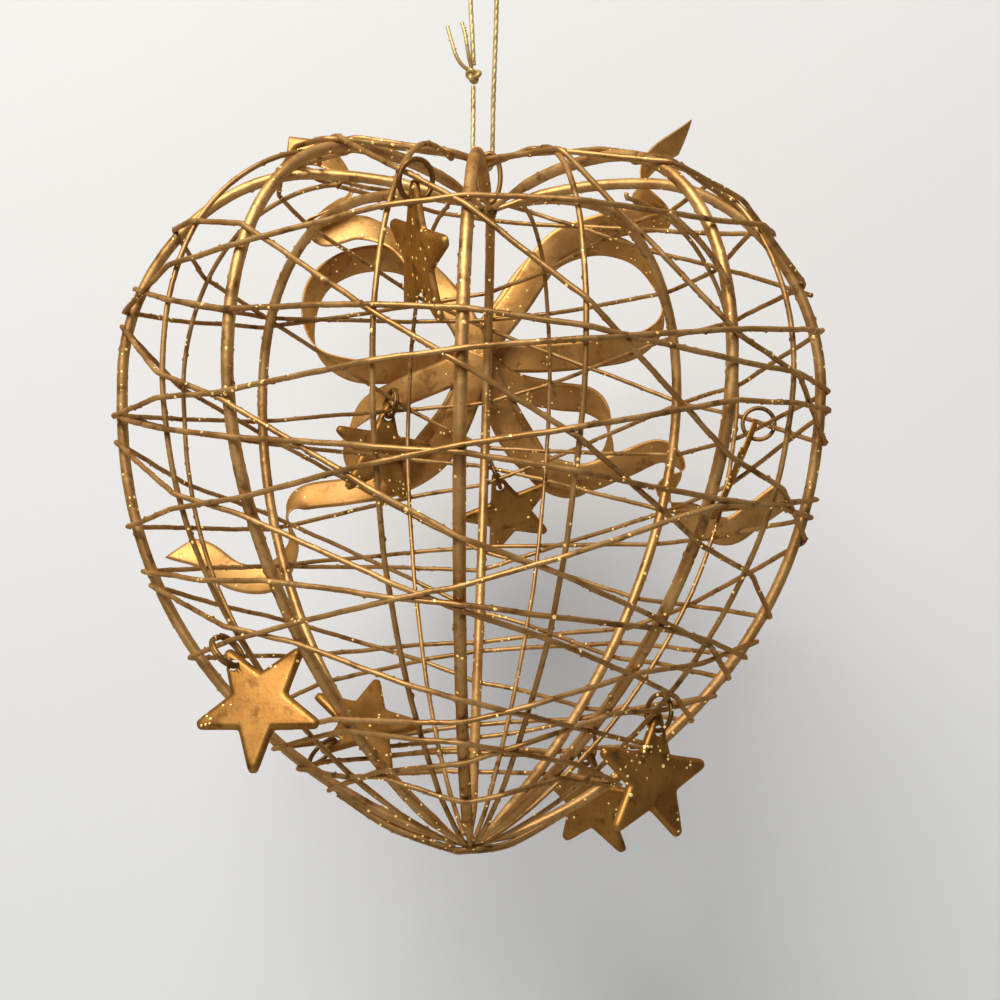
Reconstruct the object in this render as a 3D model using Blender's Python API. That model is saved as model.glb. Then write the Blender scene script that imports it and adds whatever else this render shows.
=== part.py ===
"""Wire ornament: a gold wire cage in the shape of a heart-shouldered ball, hung on a cord,
with tin stars on jump rings and a curled ribbon bow.

Sizes are millimetres and are turned into metres as the objects are made. The cage has its own
frame, with its foot at the origin and +Z up, and hangs below the scene's origin, which is the
place inside the top of the cord where the ornament is held.
"""

import math

import bmesh
import bpy
import numpy as np
from mathutils import Euler, Matrix, Vector

MM = 0.001

# Where the cage hangs, from the hanging point
CAGE_DROP = 151.2
CAGE_ASIDE = 2.1

# The cage as a whole
BELLY_HEIGHT = 79.0
CREST_HEIGHT = 113.5
JOINT_HEIGHT = 107.8
CREST_SHARE = 0.49
DIMPLE_POWER = 2.2

# Wires
RIB_RADIUS = 0.95
RIB_TIP_RADIUS = 0.45
RIB_TAPER = 9.0
THIN_RADIUS = 0.43
GAP = 0.3
WELD = 0.01
SEAM = 0.03
CORE_SIZE = 1.0
CORE_BELOW = 50.0
BEAD_RADIUS = 1.4
BEAD_HEIGHT = 1.9
FOOT_BEAD_HEIGHT = 1.2

# Each rib: its azimuth, its reach at the belly, how full its shoulder, flank and foot are, and how
# far its crest stays below the highest one
RIBS = {
    "rib_left": (180.0, 61.5, 1.9, 2.4, 1.37, 0.0),
    "rib_front_left": (225.0, 52.0, 2.3, 1.77, 1.2, 0.0),
    "rib_front": (267.4, 52.0, 2.2, 1.8, 1.2, 2.6),
    "rib_front_right": (315.0, 51.7, 2.15, 1.84, 1.12, 0.0),
    "rib_right": (360.0, 57.5, 1.9, 2.2, 1.38, 0.0),
    "rib_back_right": (405.0, 53.0, 2.1, 1.86, 1.23, 0.0),
    "rib_back": (450.0, 53.0, 2.1, 1.9, 1.3, 0.0),
    "rib_back_left": (500.0, 57.0, 2.2, 1.93, 1.49, 0.0),
}

# Each upright: its azimuth and the elevations, seen from the belly's centre, of its two ends
UPRIGHTS = {
    "upright_left_back": (159.0, -74.0, 50.0),
    "upright_left_front": (210.0, -75.0, 52.0),
    "upright_front_left": (254.0, -75.0, 57.0),
    "upright_front_right": (286.0, -74.0, 54.0),
    "upright_right_front": (331.0, -75.0, 52.0),
    "upright_right_back": (30.0, -75.0, 50.0),
    "upright_back_right": (76.0, -75.0, 52.0),
    "upright_back_left": (107.0, -74.0, 51.0),
}

# The winding wire: the rib that each length starts at, then the elevation at every next rib
WINDING = (
    (0, (46, 58, 60, 54, 31, 23, 18, 14)
        + (13, 7, 6, 1, 0, -11, -10, 14)
        + (24, 21, -2, -29, -38, -42, -33, -8)
        + (7, -7, -28, -43, -49, -54, -46, -24)
        + (-11, -26, -40, -53, -57, -64, -60, -45)
        + (-33, -48, -56, -64, -62, -72, -72, -70)
        + (-66, -73, -76, -73, -70, -76, -76, -73)
        + (-71, -72, -68, -60, -52, -66, -68, -67)
        + (-62, -64, -64, -70, -70)),
    (0, (44, 50, 59, 5, -9, 0, 16, 34)
        + (44, 44, 64, 38, 18, 14, 0, -6)
        + (-7, -13, -15, -21, -21, -30, -32, -34)
        + (-31, -37, -39, -44, -45, -51, -54, -56)
        + (-58, -62, -60, -52, -42)),
    (0, (50, 46, 22, -14, -25, -48, -52, -51)
        + (-45, -45, -36, -22, -18, -23, -14, -10)
        + (-7, -6, 0, 6, 10, 0, -18, -27)
        + (-24, -23, -14, -5, -3, -23, -37, -34)
        + (-31,)),
    (4, (42, 40, 24, 12)
        + (9, 17, 24, 24, 28, 38, 43, 47)
        + (46,)),
    (4, (16, 32, 52, 50)
        + (46,)),
)

# The oval eye on the top bead, which the cord goes through
EYE_HALF_WIDTH = 1.9
EYE_HALF_HEIGHT = 4.2
EYE_SIDES = 14

# Stars and the rings that they hang by
STAR_RADIUS = 10.6
STAR_WAIST_SHARE = 0.46
STAR_TIP_WIDTH = 1.6
STAR_TIP_CUT = 0.4
STAR_DEPTH = 1.1
STAR_EDGE = 0.35
STAR_FLANGE = 0.9
STAR_HOLE_INSET = 3.1
STAR_HOLE_RADIUS = 1.1
HOLE_SIDES = 6
HOLE_REACH = 3.0
RING_RADIUS = 2.9
RING_WIRE_RADIUS = 0.4
RING_SIDES = 10

# Ribbon
RIBBON_WIDTH = 6.1
RIBBON_THICKNESS = 0.35
RIBBON_STEPS = 15
END_SLANTS = {"tail_upper_right": 5.0, "tail_lower_left": 4.0}

# Cord
CORD_RADIUS = 0.42
CORD_STEPS = 34
KNOT_WIDTH = 3.0
KNOT_HEIGHT = 2.9

# Each star: the azimuth and elevation of the place on the cage that it hangs at, the hole in its
# top tip from there, its three turns from lying on its back with that tip towards +Y, and how
# far its ring is tilted across the hole and leans out of the star's plane
STARS = {
    "star_a": (202, -47, (2.0, -3.8, -1.8), (67, -38, -1), 18, -1),
    "star_b": (163, -67, (2.0, 1.7, 1.6), (-28, -36, 152), 0, -9),
    "star_c": (334, -58, (-0.3, -0.6, -3.2), (83, 9, 29), -6, 3),
    "star_d": (36, -69, (1.3, 1.4, -4.7), (103, 2, -34), 0, 0),
    "star_e": (87, -16, (0.5, 4.1, -2.4), (125, -23, 3), 2, 0),
    "star_f": (257, 29, (0.2, 0.4, -2.9), (103, 16, -63), -14, -8),
    "star_g": (21, -5, (-2.8, -0.7, -2.3), (112, 5, 83), -2, 13),
    "star_h": (111, -1, (-0.8, 1.9, -2.6), (86, 8, 20), -8, 17),
}

# The bow's centre: its azimuth and elevation on the cage, and how far it stands off from there
BOW_AZIMUTH = 92.1
BOW_ELEVATION = 11.0
BOW_STANDOFF = 4.4

# Each ribbon strip: the middle of its width at each bend, right of, behind and above the bow's
# centre, and how far the strip is rolled there from facing the front
STRIPS = {
    "loop_upper_left": (
        (1.0, 6.0, 0.4, 178), (-9.0, 6.6, -2.5, 165), (-18.0, 7.4, -4.0, 150),
        (-27.4, 8.6, -4.0, 135), (-34.7, 9.8, -0.2, 100), (-37.0, 10.8, 7.1, 70),
        (-35.2, 11.2, 14.4, 50), (-29.4, 11.0, 18.9, 38), (-21.7, 9.8, 20.3, 32),
        (-14.6, 8.6, 18.7, 25), (-8.4, 7.6, 13.0, 10), (-1.4, 6.8, 3.6, 0),
    ),
    "loop_upper_right": (
        (-0.5, 4.5, 1.5, 0), (5.5, 5.4, 9.2, 0), (10.5, 7.0, 16.9, 5),
        (16.8, 8.8, 22.7, 20), (25.5, 10.4, 24.8, 45), (33.9, 11.8, 22.2, 65),
        (39.0, 12.6, 15.1, 85), (39.1, 11.6, 7.8, 110), (33.6, 9.6, 2.9, 140),
        (25.0, 7.8, 0.9, 165), (14.2, 6.2, -0.6, 175), (2.0, 5.3, -1.0, 180),
    ),
    "loop_lower_left": (
        (0.5, 1.5, -1.6, 0), (-7.9, 2.5, -5.5, 0), (-16.4, 5.2, -9.0, 10),
        (-23.9, 9.0, -12.2, 40), (-27.7, 11.6, -17.4, 85), (-26.9, 12.0, -23.4, 120),
        (-21.3, 11.6, -26.5, 150), (-14.3, 9.2, -24.2, 175), (-9.3, 6.2, -18.7, 185),
        (-4.5, 3.7, -12.3, 183), (-1.1, 2.55, -5.0, 180),
    ),
    "loop_lower_right": (
        (-0.8, 3.1, -1.0, 0), (7.0, 3.7, -6.7, 0), (16.6, 5.6, -8.6, 10),
        (24.1, 7.6, -9.6, 30), (28.2, 8.6, -15.0, 90), (27.6, 9.2, -22.3, 125),
        (21.5, 9.0, -27.4, 150), (15.0, 8.0, -25.5, 165), (10.5, 6.5, -19.2, 178),
        (6.1, 4.9, -12.4, 180), (1.9, 4.0, -4.6, 180),
    ),
    "tail_upper_left": (
        (0.6, -0.05, -1.1, 0), (-5.1, 0.8, 8.6, 2), (-11.7, 3.0, 16.7, 30),
        (-18.2, 4.0, 22.9, 50), (-26.0, 4.8, 26.0, 25), (-33.4, 4.6, 24.1, 32),
        (-36.6, 3.6, 26.4, 88), (-33.3, 3.6, 28.9, 108), (-28.6, 4.6, 32.6, 112),
        (-29.5, 5.6, 37.0, 72), (-35.2, 6.6, 41.6, 25), (-42.2, 7.0, 42.4, 0),
    ),
    "tail_upper_right": (
        (-0.9, 0.75, -1.0, 0), (7.5, 2.6, 10.3, 2), (15.8, 4.4, 22.9, 15),
        (25.5, 5.2, 27.4, 30), (34.1, 5.6, 29.4, 30), (39.6, 5.2, 28.6, 82),
        (38.4, 4.6, 31.0, 102), (33.8, 3.6, 33.9, 125), (33.4, 4.0, 37.6, 80),
        (36.4, 6.0, 42.6, 55), (43.0, 8.0, 47.8, 50),
    ),
    "tail_lower_left": (
        (0.9, -1.6, -1.0, 0), (-6.4, 0.6, -19.8, 0), (-15.9, 4.2, -27.4, 10),
        (-26.5, 5.4, -30.1, 20), (-35.9, 4.6, -31.8, 30), (-39.5, 3.6, -35.5, 80),
        (-38.2, 3.6, -42.5, 60), (-42.8, 4.6, -49.0, 20), (-50.5, 5.0, -48.9, 10),
        (-57.0, 5.4, -44.8, 20), (-62.6, 6.0, -43.3, 30),
    ),
    "tail_lower_right": (
        (-0.2, -0.75, -1.0, 0), (9.5, 2.4, -20.3, 0), (21.4, 4.6, -25.9, 10),
        (31.0, 5.6, -23.1, 20), (39.2, 4.6, -19.9, 40), (43.9, 3.6, -23.6, 90),
        (40.2, 3.6, -28.4, 130), (46.0, 4.0, -33.3, 30), (53.7, 5.0, -36.5, 10),
        (60.0, 5.6, -32.7, 20), (65.8, 6.0, -28.3, 10),
    ),
}

# The cord's route from the knot, down through the eye, up over the top and back to the knot, right
# of, behind and above the hanging point
CORD_ROUTE = (
    (-1.05, -0.6, -22.1), (-0.95, -0.9, -25.5), (-0.85, -1.3, -30.0), (-0.8, -1.5, -32.5),
    (-0.1, -1.6, -34.5), (1.1, -1.15, -35.7), (1.9, 0.0, -36.0), (2.4, 1.15, -35.1),
    (2.5, 1.5, -33.0), (2.47, 1.3, -30.0), (2.42, 0.9, -24.0), (2.48, 0.6, -16.0),
    (2.5, 0.3, -8.0), (2.3, 0.1, -3.4), (1.6, 0.0, -0.9), (0.25, 0.0, 0.45),
    (-1.2, 0.0, -0.9), (-1.9, -0.1, -3.4), (-1.9, -0.3, -8.0), (-1.5, -0.5, -13.0),
    (-1.1, -0.6, -18.5),
)
KNOT_CENTRE = (-1.05, -0.6, -20.3)


def clear_scene():
    for thing in list(bpy.data.objects):
        bpy.data.objects.remove(thing, do_unlink=True)


def material(name, colour, roughness, metallic):
    made = bpy.data.materials.new(name)
    made.use_nodes = True
    shader = made.node_tree.nodes["Principled BSDF"]
    shader.inputs["Base Color"].default_value = (*colour, 1.0)
    shader.inputs["Roughness"].default_value = roughness
    shader.inputs["Metallic"].default_value = metallic
    made.diffuse_color = (*colour, 1.0)
    return made


def rib_material(name):
    return material(name, (0.62, 0.40, 0.16), 0.38, 0.85)


def thin_wire_material(name):
    return material(name, (0.56, 0.36, 0.14), 0.42, 0.85)


def star_material(name):
    return material(name, (0.42, 0.25, 0.08), 0.40, 0.80)


def ribbon_material(name):
    return material(name, (0.66, 0.40, 0.17), 0.45, 0.55)


def cord_material(name):
    return material(name, (0.60, 0.50, 0.24), 0.55, 0.30)


def cage_sizes(azimuth):
    """The reach, fullnesses and crest's drop at an azimuth, between the ribs on either side."""
    rows = np.array(list(RIBS.values()))
    turn = (azimuth - rows[0, 0]) % 360 + rows[0, 0]
    angles = np.append(rows[:, 0], rows[0, 0] + 360)
    return [np.interp(turn, angles, np.append(rows[:, i], rows[0, i])) for i in range(1, 6)]


def rib_profile(azimuth, low_count, high_count, inner_count):
    """Radius and height along a rib: foot to belly, belly to crest, and in to the top joint."""
    reach, shoulder, flank, foot, drop = cage_sizes(azimuth)
    crest, top = CREST_SHARE * reach, CREST_HEIGHT - drop

    def quarter(count):
        turn = np.linspace(0, math.pi / 2, count)
        return np.sin(turn), np.maximum(np.cos(turn), 0.0)

    s, c = quarter(low_count)
    low = np.column_stack([reach * s ** (2 / foot), BELLY_HEIGHT * (1 - c ** (2 / flank))])
    s, c = quarter(high_count)
    rise = top - BELLY_HEIGHT
    high = np.column_stack(
        [crest + (reach - crest) * c ** (2 / shoulder), BELLY_HEIGHT + rise * s ** (2 / shoulder)]
    )
    t = np.linspace(0, 1, inner_count)
    dip = (top - JOINT_HEIGHT) * (1 - t**DIMPLE_POWER)
    inner = np.column_stack([crest * (1 - t), JOINT_HEIGHT + dip])
    return np.vstack([low, high[1:], inner[1:]])


def on_cage(azimuth, elevations, lift):
    """Places on the cage's surface at an azimuth, by their elevation seen from the belly's
    centre, moved outwards by lift."""
    curve = rib_profile(azimuth, 160, 160, 80)
    turns = np.degrees(np.arctan2(curve[:, 1] - BELLY_HEIGHT, curve[:, 0]))
    turns = np.maximum.accumulate(turns)

    def at(elevation):
        return np.column_stack([np.interp(elevation, turns, curve[:, i]) for i in (0, 1)])

    elevations = np.atleast_1d(elevations).astype(float)
    along = at(elevations + 1) - at(elevations - 1)
    along /= np.linalg.norm(along, axis=1)[:, None]
    flat = at(elevations) + lift * np.column_stack([along[:, 1], -along[:, 0]])
    return stand_up(flat, azimuth)


def stand_up(flat, azimuth):
    """Turns radius and height at an azimuth into X, Y and Z."""
    turn = math.radians(azimuth)
    return np.column_stack([flat[:, 0] * math.cos(turn), flat[:, 0] * math.sin(turn), flat[:, 1]])


def tube(name, points, radius, look, closed=False, resolution=0, scales=None):
    """A wire: a curve with a round bevel, its ends closed with caps."""
    curve = bpy.data.curves.new(name, "CURVE")
    curve.dimensions = "3D"
    curve.bevel_depth = radius * MM
    curve.bevel_resolution = resolution
    curve.use_fill_caps = not closed
    spline = curve.splines.new("POLY")
    spline.points.add(len(points) - 1)
    for i, place in enumerate(points):
        spline.points[i].co = (*(float(v) * MM for v in place), 1.0)
        spline.points[i].radius = 1.0 if scales is None else float(scales[i])
    spline.use_cyclic_u = closed
    made = bpy.data.objects.new(name, curve)
    made.data.materials.append(look(name))
    bpy.context.collection.objects.link(made)
    return made


def mesh_object(name, points, faces, look=None):
    """A mesh from points in millimetres, with its faces turned outwards."""
    mesh = bpy.data.meshes.new(name)
    mesh.from_pydata([tuple(float(v) * MM for v in p) for p in points], [], faces)
    grid = bmesh.new()
    grid.from_mesh(mesh)
    bmesh.ops.remove_doubles(grid, verts=grid.verts, dist=WELD * MM)
    bmesh.ops.recalc_face_normals(grid, faces=grid.faces)
    grid.to_mesh(mesh)
    grid.free()
    made = bpy.data.objects.new(name, mesh)
    if look is not None:
        mesh.materials.append(look(name))
    bpy.context.collection.objects.link(made)
    return made


def cut(body, cutter):
    """Cuts one object out of another."""
    step = body.modifiers.new("cut", "BOOLEAN")
    step.operation = "DIFFERENCE"
    step.solver = "EXACT"
    step.object = cutter
    cutter.hide_render = True
    cutter.display_type = "WIRE"


def rib(name):
    """A thick rib, which thins towards both of its ends and stops just short of the beads."""
    azimuth = RIBS[name][0]
    flat = rib_profile(azimuth, 11, 8, 5)
    clear = BEAD_RADIUS + GAP
    low = np.array([clear, np.interp(clear, flat[:11, 0], flat[:11, 1])])
    high = np.array([clear, np.interp(clear, flat[:-5:-1, 0], flat[:-5:-1, 1])])
    keep = flat[:, 0] > clear + RIB_RADIUS
    flat = np.vstack([low, flat[keep], high])
    scales = np.clip(flat[:, 0] / RIB_TAPER, RIB_TIP_RADIUS / RIB_RADIUS, 1.0)
    return tube(name, stand_up(flat, azimuth), RIB_RADIUS, rib_material, resolution=1, scales=scales)


def upright(name):
    """A thin wire that runs up the cage between two ribs, its outer side level with theirs."""
    azimuth, low, high = UPRIGHTS[name]
    elevations = np.linspace(low, high, 10)
    points = on_cage(azimuth, elevations, RIB_RADIUS - THIN_RADIUS)
    return tube(name, points, THIN_RADIUS, thin_wire_material)


def winding_length(start, elevations):
    """One length of the winding wire, bent where it crosses a rib or an upright."""
    ribs = [row[0] for row in RIBS.values()]
    count = len(ribs)
    passed = [start + i for i in range(len(elevations))]
    stations = [ribs[i % count] + 360 * (i // count) for i in passed]
    bends = set(stations)
    for row in UPRIGHTS.values():
        for turn in range(len(elevations) // count + 3):
            azimuth = row[0] + 360 * turn
            if stations[0] < azimuth < stations[-1]:
                bends.add(azimuth)
    bends = sorted(bends)
    lift = RIB_RADIUS + GAP + THIN_RADIUS
    heights = np.interp(bends, stations, elevations)
    return np.vstack([on_cage(a, e, lift) for a, e in zip(bends, heights)])


def winding_wire():
    """The lengths of the winding wire, joined into one body where they cross."""
    pieces = [
        tube(f"winding_{i}", winding_length(start, elevations), THIN_RADIUS, thin_wire_material)
        for i, (start, elevations) in enumerate(WINDING)
    ]
    graph = bpy.context.evaluated_depsgraph_get()
    points, faces = [], []
    for piece in pieces:
        mesh = piece.evaluated_get(graph).to_mesh()
        first = len(points)
        points += [v.co / MM for v in mesh.vertices]
        faces += [tuple(first + v for v in face.vertices) for face in mesh.polygons]
        piece.to_mesh_clear()
    for piece in pieces:
        bpy.data.objects.remove(piece, do_unlink=True)
    wire = mesh_object("winding_wire", points, faces, thin_wire_material)
    core = mesh_object("winding_core", *box_mesh((0, 0, -CORE_BELOW), (CORE_SIZE,) * 3))
    core.hide_render = True
    core.display_type = "WIRE"
    step = wire.modifiers.new("join", "BOOLEAN")
    step.operation = "DIFFERENCE"
    step.solver = "EXACT"
    step.use_self = True
    step.object = core
    tidy = wire.modifiers.new("tidy", "WELD")
    tidy.merge_threshold = SEAM * MM
    return wire


def box_mesh(centre, size):
    square = ((-1, -1), (1, -1), (1, 1), (-1, 1))
    corners = [
        tuple(centre[i] + size[i] / 2 * sign[i] for i in range(3))
        for sign in [(x, y, z) for z in (-1, 1) for x, y in square]
    ]
    faces = [(0, 3, 2, 1), (4, 5, 6, 7), (0, 1, 5, 4), (1, 2, 6, 5), (2, 3, 7, 6), (3, 0, 4, 7)]
    return corners, faces


def bead(name, centre, radius, height):
    """A drop of solder, wider than it is high."""
    ball = bmesh.new()
    bmesh.ops.create_uvsphere(ball, u_segments=8, v_segments=5, radius=1.0)
    mesh = bpy.data.meshes.new(name)
    ball.to_mesh(mesh)
    ball.free()
    mesh.transform(Matrix.Diagonal((radius * MM, radius * MM, height / 2 * MM, 1.0)))
    mesh.materials.append(rib_material(name))
    made = bpy.data.objects.new(name, mesh)
    made.location = Vector(centre) * MM
    bpy.context.collection.objects.link(made)
    return made


def hanging_eye():
    """The oval wire eye that stands on the top bead."""
    middle = JOINT_HEIGHT + BEAD_HEIGHT / 2 + GAP + THIN_RADIUS + EYE_HALF_HEIGHT
    turns = np.linspace(0, 2 * math.pi, EYE_SIDES, endpoint=False)
    points = [
        (EYE_HALF_WIDTH * math.sin(t), 0.0, middle - EYE_HALF_HEIGHT * math.cos(t)) for t in turns
    ]
    return tube("hanging_eye", points, THIN_RADIUS, rib_material, closed=True, resolution=1)


def star_outline(inset):
    """The outline of a star with blunt tips, each corner moved in towards the middle."""
    rim = []
    for i in range(5):
        turn = math.radians(90 + 72 * i)
        out = Vector((math.cos(turn), math.sin(turn), 0))
        side = Vector((-out.y, out.x, 0))
        width = STAR_TIP_WIDTH / 2 * (1 - inset / STAR_RADIUS)
        for across in (-width, width):
            rim.append(out * (STAR_RADIUS - STAR_TIP_CUT - inset) + side * across)
        turn += math.radians(36)
        waist = STAR_RADIUS * STAR_WAIST_SHARE
        rim.append(Vector((math.cos(turn), math.sin(turn), 0)) * (waist - inset / 2))
    return rim


def star(name, parent):
    """A tin star, its edge turned down all round, with a hole near its top tip, and the ring
    through it. The star hangs from its hole, which keeps its place when the star grows."""
    azimuth, elevation, offset, turns, ring_tilt, ring_lean = STARS[name]
    low, high = Vector((0, 0, -STAR_DEPTH / 2)), Vector((0, 0, STAR_DEPTH / 2))
    foot = Vector((0, 0, STAR_EDGE - STAR_DEPTH / 2))
    rim, face = star_outline(0), star_outline(STAR_FLANGE)
    count = len(rim)
    points = [p + low for p in rim] + [p + foot for p in rim] + [p + high for p in face]
    points += [low, high]
    faces = []
    for i in range(count):
        j = (i + 1) % count
        faces += [(i, j, count + j, count + i), (j, i, 3 * count)]
        faces += [(count + i, count + j, 2 * count + j), (count + i, 2 * count + j, 2 * count + i)]
        faces.append((2 * count + i, 2 * count + j, 3 * count + 1))
    plate = mesh_object(name, points, faces, star_material)
    plate.parent = parent
    hole_at = STAR_RADIUS - STAR_HOLE_INSET
    turn = Euler([math.radians(t) for t in turns])
    hung_at = Vector(on_cage(azimuth, elevation, 0)[0]) + Vector(offset)
    plate.location = (hung_at - turn.to_matrix() @ Vector((0, hole_at, 0))) * MM
    plate.rotation_euler = turn
    around = np.linspace(0, 2 * math.pi, HOLE_SIDES, endpoint=False)
    bore = [
        (STAR_HOLE_RADIUS * math.cos(t), hole_at + STAR_HOLE_RADIUS * math.sin(t), z)
        for z in (-HOLE_REACH, HOLE_REACH)
        for t in around
    ]
    n = HOLE_SIDES
    walls = [(i, (i + 1) % n, n + (i + 1) % n, n + i) for i in range(n)]
    ends = [tuple(range(n - 1, -1, -1)), tuple(range(n, 2 * n))]
    cutter = mesh_object(name + "_hole", bore, walls + ends)
    cutter.parent = plate
    cut(plate, cutter)
    tilt, lean = math.radians(ring_tilt), math.radians(ring_lean)
    across = Vector((-math.sin(tilt), 0, math.cos(tilt)))
    arm = Vector((0, 1, 0))
    out = arm * math.cos(lean) + across * math.sin(lean)
    side = across * math.cos(lean) - arm * math.sin(lean)
    middle = Vector((0, hole_at, 0)) + out * RING_RADIUS
    around = np.linspace(0, 2 * math.pi, RING_SIDES, endpoint=False)
    points = [middle + (out * math.cos(t) + side * math.sin(t)) * RING_RADIUS for t in around]
    ring = tube(name.replace("star", "ring"), points, RING_WIRE_RADIUS, rib_material, closed=True)
    ring.parent = plate


def smooth_through(rows, count):
    """Evenly spaced rows of a smooth curve through the given ones."""
    rows = np.array(rows, float)
    ends = np.vstack([2 * rows[0] - rows[1], rows, 2 * rows[-1] - rows[-2]])
    t = np.linspace(0, 1, 20, endpoint=False)[:, None]
    dense = []
    for i in range(len(rows) - 1):
        a, b, c, d = ends[i : i + 4]
        bend = a - 2.5 * b + 2 * c - d / 2
        twist = 1.5 * (b - c) + (d - a) / 2
        dense.append(b + t * (c - a) / 2 + t**2 * bend + t**3 * twist)
    dense = np.vstack([*dense, rows[-1:]])
    steps = np.linalg.norm(np.diff(dense[:, :3], axis=0), axis=1)
    reach = np.append(0, np.cumsum(steps))
    at = np.linspace(0, reach[-1], count)
    return np.column_stack([np.interp(at, reach, dense[:, i]) for i in range(rows.shape[1])])


def ribbon_strip(name, parent):
    """A flat strip carried along its bends, rolled as it goes, its end square or cut aslant."""
    rows = smooth_through(STRIPS[name], RIBBON_STEPS)
    middle = rows[:, :3] + on_cage(BOW_AZIMUTH, BOW_ELEVATION, BOW_STANDOFF)
    roll = np.radians(rows[:, 3])
    along = np.gradient(middle, axis=0)
    along /= np.linalg.norm(along, axis=1)[:, None]
    back = np.array([0.0, 1.0, 0.0])
    left = np.cross(along, back)
    left /= np.linalg.norm(left, axis=1)[:, None]
    across = np.cos(roll)[:, None] * left + np.sin(roll)[:, None] * np.cross(along, left)
    face = np.cross(along, across)
    wide, thick = across * RIBBON_WIDTH / 2, face * RIBBON_THICKNESS / 2
    wide[-1] += along[-1] * END_SLANTS.get(name, 0.0) / 2
    corners = [middle + wide + thick, middle - wide + thick]
    corners += [middle - wide - thick, middle + wide - thick]
    points = np.stack(corners, axis=1).reshape(-1, 3)
    faces = [(0, 1, 2), (0, 2, 3)]
    # Both broad sides are cut in triangles along the same diagonals, so that the strip keeps its
    # thickness where it twists
    for i in range(RIBBON_STEPS - 1):
        for j in range(4):
            k = (j + 1) % 4
            this, other = 4 * i + j, 4 * i + k
            if j == 2:
                faces += [(this, other, this + 4), (other, other + 4, this + 4)]
            else:
                faces += [(this, other, other + 4), (this, other + 4, this + 4)]
    last = 4 * (RIBBON_STEPS - 1)
    faces += [(last + 3, last + 2, last + 1), (last + 3, last + 1, last)]
    strip = mesh_object(name, points, faces, ribbon_material)
    strip.parent = parent


def cord():
    """The hanging loop, one open cord whose two ends meet the knot."""
    route = smooth_through(CORD_ROUTE, CORD_STEPS)
    return tube("hanging_cord", route, CORD_RADIUS, cord_material, resolution=2)


def knot():
    """The knot that closes the loop."""
    ball = bmesh.new()
    bmesh.ops.create_icosphere(ball, subdivisions=1, radius=1.0)
    mesh = bpy.data.meshes.new("cord_knot")
    ball.to_mesh(mesh)
    ball.free()
    wide, high = KNOT_WIDTH / 2 * MM, KNOT_HEIGHT / 2 * MM
    mesh.transform(Matrix.Diagonal((wide, wide, high, 1.0)))
    mesh.materials.append(cord_material("cord_knot"))
    made = bpy.data.objects.new("cord_knot", mesh)
    made.location = Vector(KNOT_CENTRE) * MM
    bpy.context.collection.objects.link(made)


clear_scene()
cage = bpy.data.objects.new("cage_frame", None)
cage.location = (CAGE_ASIDE * MM, 0, -CAGE_DROP * MM)
bpy.context.collection.objects.link(cage)
made = [rib(name) for name in RIBS]
made += [upright(name) for name in UPRIGHTS]
made.append(winding_wire())
made.append(bead("top_joint", (0, 0, JOINT_HEIGHT), BEAD_RADIUS, BEAD_HEIGHT))
made.append(bead("bottom_joint", (0, 0, 0), BEAD_RADIUS, FOOT_BEAD_HEIGHT))
made.append(hanging_eye())
for thing in made:
    thing.parent = cage
for name in STARS:
    star(name, cage)
for name in STRIPS:
    ribbon_strip(name, cage)
cord()
knot()
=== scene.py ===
import math

import bpy
import numpy as np
from mathutils import Matrix


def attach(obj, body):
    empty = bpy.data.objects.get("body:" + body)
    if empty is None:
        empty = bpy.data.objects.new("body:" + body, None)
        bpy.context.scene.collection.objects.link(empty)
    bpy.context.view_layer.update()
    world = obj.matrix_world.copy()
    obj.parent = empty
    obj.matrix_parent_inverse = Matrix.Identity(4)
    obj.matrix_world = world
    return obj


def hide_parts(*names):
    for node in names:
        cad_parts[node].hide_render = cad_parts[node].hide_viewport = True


# Sizes are millimetres. The cage has its own frame, with its foot at the origin and +Z up, and
# hangs below the row's origin, which is the place where the cord is held.
mm = 0.001

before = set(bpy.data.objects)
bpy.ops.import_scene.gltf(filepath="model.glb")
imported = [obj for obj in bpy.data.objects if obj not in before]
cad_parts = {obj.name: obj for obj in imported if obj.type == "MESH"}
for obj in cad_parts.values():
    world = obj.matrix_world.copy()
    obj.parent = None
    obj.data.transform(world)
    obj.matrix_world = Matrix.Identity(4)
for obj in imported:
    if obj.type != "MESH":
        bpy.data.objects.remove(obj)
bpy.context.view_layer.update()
print("frame loaded")

# The camera: its distance from the hanging plane and its place right of and above the row's origin,
# how far it is rolled in degrees, and its lens
view = {
    "distance": 247.1,
    "centre": (5.5, -92.3),
    "roll": 1.632,
    "lens": 52.2,
    "sensor": 36.0,
}
# The room in metres: its even light, a wall behind the ornament that changes tone between two
# heights, painted light that leaves it a little lighter and bluer low down, a floor, and the lights,
# each with its width, power, place and colour
stage = {
    "room": 0.12,
    "roomColour": (0.95, 0.97, 1.0),
    "planeWidth": 4.0,
    "wallAt": 0.13,
    "wallHighPaintedLight": (0.665, 0.667, 0.660),
    "wallLowPaintedLight": (0.68, 0.69, 0.70),
    "wallHeights": (-0.24, 0.0),
    "floorAt": (0.0, -1.5, -0.75),
    "floor": (0.5, 0.5, 0.5),
    "matt": 0.9,
    "lights": {"window": (0.8, 25.0, (-0.34, -0.86, 0.72), (1.0, 0.98, 0.95))},
    "litPlace": (0.0, 0.0, -0.09),
}
hang = {"aside": 2.1, "drop": 151.2}
cage = {
    "belly": 79.0,
    "crest": 113.5,
    "joint": 107.8,
    "crestShare": 0.49,
    "dimplePower": 2.2,
}
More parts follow.
